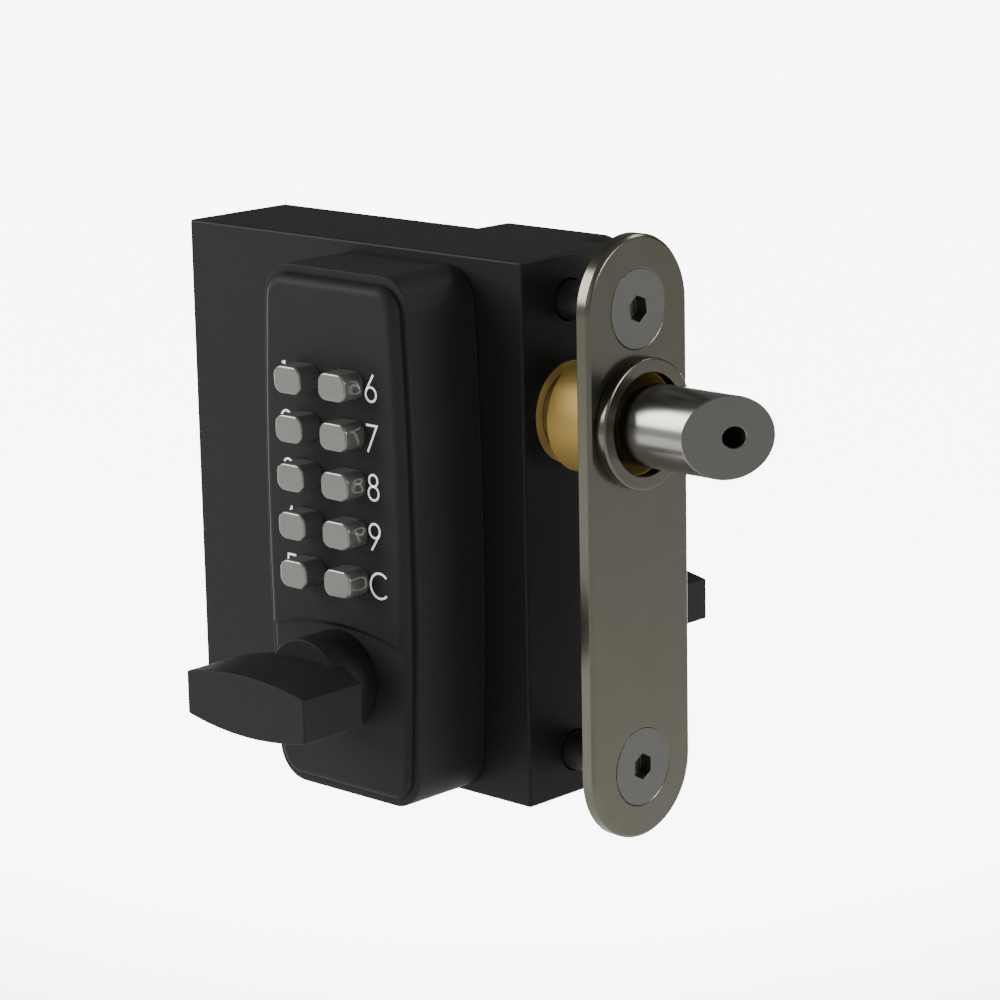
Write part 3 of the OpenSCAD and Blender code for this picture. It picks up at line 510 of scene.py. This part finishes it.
def outward(points, depth, x=0, z=0, side=-1):
    """Puts an outline at a depth outside the case, in front (side -1) or behind (side 1)."""
    return [(x + px, side * (CASE_FACE + depth), z + pz) for px, pz in points]


def loft(mesh, rings, closed=False):
    """Skins rings of equal counts, and caps the two ends of an open run."""
    loops = [[mesh.verts.new(point) for point in ring] for ring in rings]
    pairs = list(zip(loops, loops[1:]))
    if closed:
        pairs.append((loops[-1], loops[0]))
    for low, high in pairs:
        for i in range(len(low)):
            j = (i + 1) % len(low)
            mesh.faces.new((low[i], low[j], high[j], high[i]))
    if not closed:
        mesh.faces.new(loops[0][::-1])
        mesh.faces.new(loops[-1])


def prism(mesh, points, low, high, x=0, z=0, side=-1):
    loft(mesh, [outward(points, depth, x, z, side) for depth in (low, high)])


def body_from(name, mesh):
    """A plain object from a bmesh."""
    bmesh.ops.recalc_face_normals(mesh, faces=mesh.faces)
    data = bpy.data.meshes.new(name)
    mesh.to_mesh(data)
    mesh.free()
    body = bpy.data.objects.new(name, data)
    bpy.context.scene.collection.objects.link(body)
    return body


def combine(body, mesh, operation):
    """Cuts a bmesh out of a body, or joins it on, for good."""
    tool = body_from("tool", mesh)
    change = body.modifiers.new("change", "BOOLEAN")
    change.operation = operation
    change.solver = "EXACT"
    change.object = tool
    changed = bpy.data.meshes.new_from_object(body.evaluated_get(bpy.context.evaluated_depsgraph_get()))
    body.modifiers.clear()
    body.data = changed
    bpy.data.objects.remove(tool)


def show(piece, node, finish=None, crease=32):
    """Shades a piece, gives it its finish and lets it stand for its CAD node."""
    data = piece.data
    data.polygons.foreach_set("use_smooth", [True] * len(data.polygons))
    data.set_sharp_from_angle(angle=math.radians(crease))
    normals = piece.modifiers.new("normals", "WEIGHTED_NORMAL")
    normals.keep_sharp = True
    data.materials.clear()
    data.materials.append(finish or finish_of(SLOT_OF[node]))
    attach(piece, BODY_OF[node])
    if finish is None:
        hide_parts(node)


def on_rim(edge, low, high):
    """Whether an edge runs along the edge of its node's box."""
    middle = (edge.verts[0].co + edge.verts[1].co) / 2
    gaps = [min(middle[i] - low[i], high[i] - middle[i]) for i in range(3)]
    return sum(gap < RIM_REACH for gap in gaps) > 1


def soften(node, width, segments=2, rim_only=False):
    """Stands a copy of a CAD node with rounded edges in for it."""
    mesh = bmesh.new()
    mesh.from_mesh(frame["nodes"][node].data)
    bmesh.ops.remove_doubles(mesh, verts=mesh.verts, dist=WELD_GAP)
    bmesh.ops.dissolve_limit(
        mesh, angle_limit=math.radians(FLAT_TURN), verts=mesh.verts, edges=mesh.edges,
        use_dissolve_boundaries=False)
    least = math.radians(SHARP_TURN)
    sharp = [edge for edge in mesh.edges if edge.is_manifold and edge.calc_face_angle() > least]
    if rim_only:
        sharp = [edge for edge in sharp if on_rim(edge, *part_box(node))]
    bmesh.ops.bevel(
        mesh, geom=sharp, offset=width, segments=segments, profile=0.5, affect="EDGES", clamp_overlap=False,
        loop_slide=False)
    show(body_from("dressed_" + node, mesh), node)


# Pieces

def housing_body(name, side):
    """Housing shell with its rim, sunk panel and raised pad."""
    edge = sizes().plastic_edge
    panel_rise = PAD_DEPTH - PANEL_SINK - RIM_DEPTH
    inner = SHELL_WALL + RIM_WIDTH
    shell = [
        (inner, PAD_DEPTH - SHELL_WALL),
        (inner, RIM_DEPTH - SHELL_WALL),
        (SHELL_WALL, RIM_DEPTH - SHELL_WALL),
        (SHELL_WALL, GASKET_DEPTH),
        (0, GASKET_DEPTH),
    ]
    shell += turned_edge(edge, RIM_DEPTH)

    def field(rise, steps):
        return [(RIM_WIDTH + inset, depth) for inset, depth in turned_edge(rise, RIM_DEPTH + rise, steps)]

    def rings(profile):
        return [
            outward(housing_outline(inset), depth, HOUSING_X, HOUSING_Z, side)
            for inset, depth in profile
        ]

    mesh = bmesh.new()
    loft(mesh, rings(shell + field(panel_rise, 10)))
    body = body_from(name, mesh)

    mesh = bmesh.new()
    loft(mesh, rings([(RIM_WIDTH, RIM_DEPTH - SINK)] + field(PAD_DEPTH - RIM_DEPTH, 12)))
    pad = body_from("pad", mesh)
    mesh = bmesh.new()
    panel = PAD_DEPTH - PANEL_SINK
    steps = (
        (PANEL_SLOPE, RIM_DEPTH - OVERRUN),
        (PANEL_SLOPE, panel),
        (0, PAD_DEPTH),
        (0, PAD_DEPTH + OVERRUN),
    )
    loft(mesh, [outward(below_arch(drop), depth, KNOB_X, KNOB_Z, side) for drop, depth in steps])
    combine(pad, mesh, "DIFFERENCE")
    mesh = bmesh.new()
    mesh.from_mesh(pad.data)
    bpy.data.objects.remove(pad)
    combine(body, mesh, "UNION")

    mesh = bmesh.new()
    prism(mesh, circle(BUSH_HOLE), 0, PAD_DEPTH + OVERRUN, KNOB_X, KNOB_Z, side)
    combine(body, mesh, "DIFFERENCE")
    return body


class LOCK_OT_housings(bpy.types.Operator):
    """Keypad housing in front and plain housing behind"""
    bl_idname = "lock.housings"
    bl_label = "Housings"

    def execute(self, context):
        front = housing_body("dressed_keypad_housing", -1)
        windows = bmesh.new()
        for node in KEY_NODES:
            low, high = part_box(node)
            outline = round_rectangle(
                KEY_WIDTH + 2 * WINDOW_GAP, KEY_HEIGHT + 2 * WINDOW_GAP, KEY_CORNER + WINDOW_GAP)
            x, z = (low.x + high.x) / 2, (low.z + high.z) / 2
            prism(windows, outline, RIM_DEPTH - 2 * OVERRUN, PAD_DEPTH + OVERRUN, x, z)
        combine(front, windows, "DIFFERENCE")
        show(front, "keypad_housing")

        rear = housing_body("dressed_rear_housing", 1)
        low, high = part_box("through_bolts")
        heights = (low.z + SCREW_SEAT_RADIUS - SCREW_GAP, high.z - SCREW_SEAT_RADIUS + SCREW_GAP)
        posts = bmesh.new()
        for z in heights:
            post_end = PAD_DEPTH - SHELL_WALL + SINK
            prism(posts, circle(SCREW_POST_RADIUS), GASKET_DEPTH, post_end, HOUSING_X, z, 1)
        combine(rear, posts, "UNION")
        seats = bmesh.new()
        for z in heights:
            prism(seats, circle(SCREW_SEAT_RADIUS), SCREW_SEAT_DEPTH, PAD_DEPTH + OVERRUN, HOUSING_X, z, 1)
        combine(rear, seats, "DIFFERENCE")
        show(rear, "rear_housing")
        return {"FINISHED"}


class LOCK_OT_keys(bpy.types.Operator):
    """Metal keys with a satin face and polished sides"""
    bl_idname = "lock.keys"
    bl_label = "Keys"

    def execute(self, context):
        for node in KEY_NODES:
            low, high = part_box(node)
            x, z = (low.x + high.x) / 2, (low.z + high.z) / 2
            face = -low.y - CASE_FACE
            flange_low, flange_high = KEY_FLANGE_DEPTHS
            profile = [(0, flange_high - SINK)] + turned_edge(sizes().key_edge, face, 5)
            mesh = bmesh.new()
            loft(mesh, [
                outward(round_rectangle(KEY_WIDTH - 2 * inset, KEY_HEIGHT - 2 * inset, KEY_CORNER - inset),
                        depth, x, z)
                for inset, depth in profile
            ])
            wide, tall = KEY_WIDTH + 2 * KEY_FLANGE_EDGE, KEY_HEIGHT + 2 * KEY_FLANGE_EDGE
            flange = round_rectangle(wide, tall, KEY_CORNER)
            prism(mesh, flange, flange_low, flange_high, x, z)
            prism(mesh, circle(KEY_STEM_RADIUS, 32), -high.y - CASE_FACE, flange_low + SINK, x, z)
            show(body_from("dressed_" + node, mesh), node)
        return {"FINISHED"}


def stroke_paths():
    """Centre lines of the legends, in millimetres from each legend's middle."""
    half = STROKE_HALF
    end = STROKE_END

    def bowl(z, radius, start=0, stop=360):
        return arc((0, z), radius, start, stop, max(12, int(abs(stop - start) / 7)))

    return {
        "1": [[(-1.1, 3.0), (-0.1, half)], [(-0.1, end), (-0.1, -end)]],
        "2": [bowl(1.45, 1.8, 170, -35) + [(-1.85, -half)], [(-2.2, -half), (2.1, -half)]],
        "3": [bowl(1.6, 1.64, 150, -90), bowl(-1.4, 1.84, 90, -150)],
        "4": [[(0.75, half), (-2.0, -1.5), (2.1, -1.5)], [(0.75, end), (0.75, -end)]],
        "5": [[(1.75, half), (-1.0, half), (-1.35, 0.55)], bowl(-1.3, 1.94, 118, -150)],
        "6": [bowl(-1.44, 1.8), [(-1.6, -0.5), (0.95, end)]],
        "7": [[(-1.95, half), (1.75, half), (-1.6, -end)]],
        "8": [bowl(1.78, 1.46), bowl(-1.46, 1.76)],
        "9": [bowl(1.44, 1.8), [(1.6, 0.5), (-1.2, -end)]],
        "c": [bowl(0, half, 44, 316)],
    }


def ribbon(mesh, path, x, z, low, high):
    """A flat stroke along a path on the pad, closed where the path's ends meet."""
    points = [Vector((x + px * MM, z + pz * MM)) for px, pz in path]
    closed = (points[0] - points[-1]).length < 0.001 * MM
    if closed:
        points.pop()
    half = sizes().legend_stroke / 2
    rings = []
    for i, point in enumerate(points):
        before = points[i - 1] if i or closed else point
        after = points[(i + 1) % len(points)] if closed or i + 1 < len(points) else point
        run_in, run_out = (point - before).normalized(), (after - point).normalized()
        run = (run_in + run_out).normalized()
        across = Vector((-run.y, run.x))
        bend = max(0.4, run.dot(run_out) if run_out.length else run.dot(run_in))
        left, right = point + across * half / bend, point - across * half / bend
        ring = [(left, low), (right, low), (right, high), (left, high)]
        rings.append([(p.x, -CASE_FACE - depth, p.y) for p, depth in ring])
    loft(mesh, rings, closed)


class LOCK_OT_legends(bpy.types.Operator):
    """Painted figures beside the keys"""
    bl_idname = "lock.legends"
    bl_label = "Legends"

    def execute(self, context):
        mesh = bmesh.new()
        for mark, paths in stroke_paths().items():
            low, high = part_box("key_" + mark)
            beside = LEGEND_X_RIGHT
            if low.x < HOUSING_X - COLUMN_SPLIT:
                beside = LEGEND_X_LEFT
            elif mark == "c":
                beside = LEGEND_X_C
            x = HOUSING_X + beside
            z = (low.z + high.z) / 2 - LEGEND_DROP
            for path in paths:
                ribbon(mesh, path, x, z, PAD_DEPTH - LEGEND_ROOT, PAD_DEPTH + sizes().legend_rise)
        show(body_from("legends", mesh), "keypad_housing", finish_of("legend"))
        return {"FINISHED"}


def knob_body(name, side):
    """Hub, paddle and stem of a knob."""
    edge = sizes().plastic_edge
    mesh = bmesh.new()
    hub = [(0, HUB_BACK)] + turned_edge(edge, HUB_FRONT)
    loft(mesh, [outward(circle(HUB_RADIUS - inset), depth, KNOB_X, KNOB_Z, side) for inset, depth in hub])
    body = body_from(name, mesh)

    mesh = bmesh.new()
    paddle = [
        (PADDLE_HALF - PADDLE_FACET, 0, PADDLE_BACK),
        (PADDLE_HALF - edge / 2, 0, PADDLE_END_BACK - edge / 5),
        (PADDLE_HALF, 0, PADDLE_END_BACK + edge / 3),
    ]
    paddle += [(PADDLE_HALF, inset, depth) for inset, depth in turned_edge(edge, KNOB_FRONT)]
    loft(mesh, [
        outward(paddle_outline(half, inset), depth, KNOB_X, KNOB_Z, side)
        for half, inset, depth in paddle
    ])
    combine(body, mesh, "UNION")

    mesh = bmesh.new()
    prism(mesh, circle(STEM_RADIUS), STEM_BACK, HUB_BACK + OVERRUN, KNOB_X, KNOB_Z, side)
    combine(body, mesh, "UNION")
    return body


class LOCK_OT_knobs(bpy.types.Operator):
    """Front and rear turn knobs"""
    bl_idname = "lock.knobs"
    bl_label = "Knobs"

    def execute(self, context):
        show(knob_body("dressed_front_knob", -1), "front_knob")
        rear = knob_body("dressed_rear_knob", 1)
        low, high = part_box("rear_grub_screw")
        grub_y = (low.y + high.y) / 2
        bore = bmesh.new()
        loft(bore, [
            [(KNOB_X + px, grub_y + py, z) for px, py in circle(GRUB_RADIUS, 32)]
            for z in (KNOB_Z - HUB_RADIUS - OVERRUN, low.z - GRUB_GAP)
        ])
        combine(rear, bore, "DIFFERENCE")
        show(rear, "rear_knob")
        return {"FINISHED"}


class LOCK_OT_case(bpy.types.Operator):
    """Lock case, its cover and the gaskets"""
    bl_idname = "lock.case"
    bl_label = "Lock case"

    def execute(self, context):
        soften("case_body", sizes().case_edge, 3, rim_only=True)
        for node in ("case_cover", "cover_screws", "front_gasket", "rear_gasket", "through_bolts"):
            soften(node, COVER_EDGE)
        return {"FINISHED"}


class LOCK_OT_bolt(bpy.types.Operator):
    """Bolt, guide, collar, faceplate and fixing screws"""
    bl_idname = "lock.bolt"
    bl_label = "Bolt and faceplate"

    def execute(self, context):
        for node in ("faceplate", "bolt_collar", "bolt"):
            soften(node, sizes().metal_edge, 3)
        for node in ("fixing_screws", "bolt_liner", "bolt_guide"):
            soften(node, SCREW_EDGE)
        return {"FINISHED"}


class LOCK_OT_inner_works(bpy.types.Operator):
    """Finishes of the pieces inside, which keep their CAD shape"""
    bl_idname = "lock.inner_works"
    bl_label = "Inner works"

    def execute(self, context):
        for node, piece in frame["nodes"].items():
            piece.data.materials.clear()
            piece.data.materials.append(finish_of(SLOT_OF[node]))
        return {"FINISHED"}


# Stage

def camera_turn(azimuth, elevation, roll):
    """Rotation of a camera that looks at the object from these angles in degrees."""
    a, e, r = (math.radians(angle) for angle in (azimuth, elevation, roll))
    back = Vector((math.sin(a) * math.cos(e), -math.cos(a) * math.cos(e), math.sin(e)))
    right = (-back).cross(Vector((0, 0, 1))).normalized()
    up = right.cross(-back)
    right_turned = math.cos(r) * right + math.sin(r) * up
    up_turned = math.cos(r) * up - math.sin(r) * right
    return Matrix((right_turned, up_turned, back)).transposed()


def soft_box(name, place, width, height, power):
    """Area light at a place, turned to the lock."""
    light = bpy.data.lights.new(name, "AREA")
    light.shape = "RECTANGLE"
    light.size = width
    light.size_y = height
    light.energy = power
    lamp = bpy.data.objects.new(name, light)
    lamp.location = place
    lamp.rotation_euler = (Vector(LIGHT_TARGET) - Vector(place)).to_track_quat("-Z", "Y").to_euler()
    bpy.context.scene.collection.objects.link(lamp)


def studio_world():
    """Surroundings that are brightest at the horizon, and dimmer above and where the camera looks."""
    world = bpy.data.worlds.new("studio")
    world.use_nodes = True
    shading = Shading(world.node_tree)
    direction = shading.node("ShaderNodeTexCoord")
    height = shading.node("ShaderNodeSeparateXYZ", None, {0: direction}, 2)
    stops = tuple(zip(LIGHT_HEIGHTS, (HORIZON_LIGHT, CEILING_LIGHT)))
    grey = shading.node("ShaderNodeValToRGB", {"stops": stops}, {0: height})
    away = shading.node("ShaderNodeVectorMath", {"operation": "DOT_PRODUCT"}, {0: direction, 1: AWAY}, 1)
    stops = tuple(zip(BACK_WEDGE, (1, BACK_LIGHT)))
    shade = shading.node("ShaderNodeValToRGB", {"stops": stops}, {0: away})
    shading.fill(world.node_tree.nodes["Background"], {"Color": grey * shade})
    return world


def floor_paint():
    """Pale paint that glows in a wedge behind the lock and faintly elsewhere."""
    paint = Finish("floor_paint", colours().floor, **{"Emission Strength": FAR_GLOW})
    place = paint.node("ShaderNodeTexCoord", output=3)
    start = tuple(GLOW_START * part for part in AWAY)
    beyond = paint.node("ShaderNodeVectorMath", {"operation": "SUBTRACT"}, {0: place, 1: start})
    bearing = paint.node("ShaderNodeVectorMath", {"operation": "NORMALIZE"}, {0: beyond})
    away = paint.node("ShaderNodeVectorMath", {"operation": "DOT_PRODUCT"}, {0: bearing, 1: AWAY}, 1)
    stops = tuple(zip(GLOW_WEDGE, (NEAR_GLOW / FAR_GLOW, 1)))
    glow = paint.node("ShaderNodeValToRGB", {"stops": stops}, {0: away})
    paint.fill(paint.shader, {"Emission Color": glow})
    paint.tint(paint.grain(0.8), 0.97)
    paint.rough(0.9)
    return paint.material


def pale_floor():
    """Wide floor below the lock."""
    mesh = bmesh.new()
    floor_z = CAD_BOX[0][2] - FLOOR_DROP
    corners = [(x * FLOOR_REACH, y * FLOOR_REACH) for x, y in ((-1, -1), (1, -1), (1, 1), (-1, 1))]
    mesh.faces.new([mesh.verts.new((x, y, floor_z)) for x, y in corners])
    floor = body_from("floor", mesh)
    floor.data.materials.append(floor_paint())


def photo_camera():
    """Camera that sees the lock as the photograph does."""
    lens = bpy.data.cameras.new("camera")
    lens.sensor_width = CAMERA_SENSOR
    lens.lens = CAMERA_LENS
    lens.clip_end = CAMERA_REACH
    camera = bpy.data.objects.new("camera", lens)
    camera.rotation_euler = camera_turn(*CAMERA_ANGLES).to_euler()
    camera.location = CAMERA_PLACE
    bpy.context.scene.collection.objects.link(camera)
    return camera


class LOCK_OT_stage(bpy.types.Operator):
    """Pale floor, soft studio light and the camera"""
    bl_idname = "lock.stage"
    bl_label = "Stage"

    def execute(self, context):
        pale_floor()
        for light in LIGHTS:
            soft_box(*light)
        context.scene.world = studio_world()
        context.scene.camera = photo_camera()
        return {"FINISHED"}


class LOCK_PT_panel(bpy.types.Panel):
    """Lists the lock's pieces"""
    bl_idname = "LOCK_PT_panel"
    bl_label = "Code gate lock"
    bl_space_type = "VIEW_3D"
    bl_region_type = "UI"
    bl_category = "Gate lock"

    def draw(self, context):
        for settings in (context.scene.lock_sizes, context.scene.lock_colours):
            for name in settings.bl_rna.properties.keys():
                if name not in {"rna_type", "name"}:
                    self.layout.prop(settings, name)
        for operator in OPERATORS:
            self.layout.operator(operator.bl_idname)


OPERATORS = (
    LOCK_OT_inner_works, LOCK_OT_case, LOCK_OT_bolt, LOCK_OT_housings, LOCK_OT_keys, LOCK_OT_legends,
    LOCK_OT_knobs, LOCK_OT_stage,
)
CLASSES = (LockSizes, LockColours, *OPERATORS, LOCK_PT_panel)


def register():
    for made in CLASSES:
        bpy.utils.register_class(made)
    bpy.types.Scene.lock_sizes = PointerProperty(type=LockSizes)
    bpy.types.Scene.lock_colours = PointerProperty(type=LockColours)


def unregister():
    del bpy.types.Scene.lock_colours
    del bpy.types.Scene.lock_sizes
    for made in reversed(CLASSES):
        bpy.utils.unregister_class(made)


def main():
    register()
    bpy.ops.lock.inner_works()
    bpy.ops.lock.case()
    bpy.ops.lock.bolt()
    bpy.ops.lock.housings()
    bpy.ops.lock.keys()
    bpy.ops.lock.legends()
    bpy.ops.lock.knobs()
    bpy.ops.lock.stage()


if __name__ == "__main__":
    main()
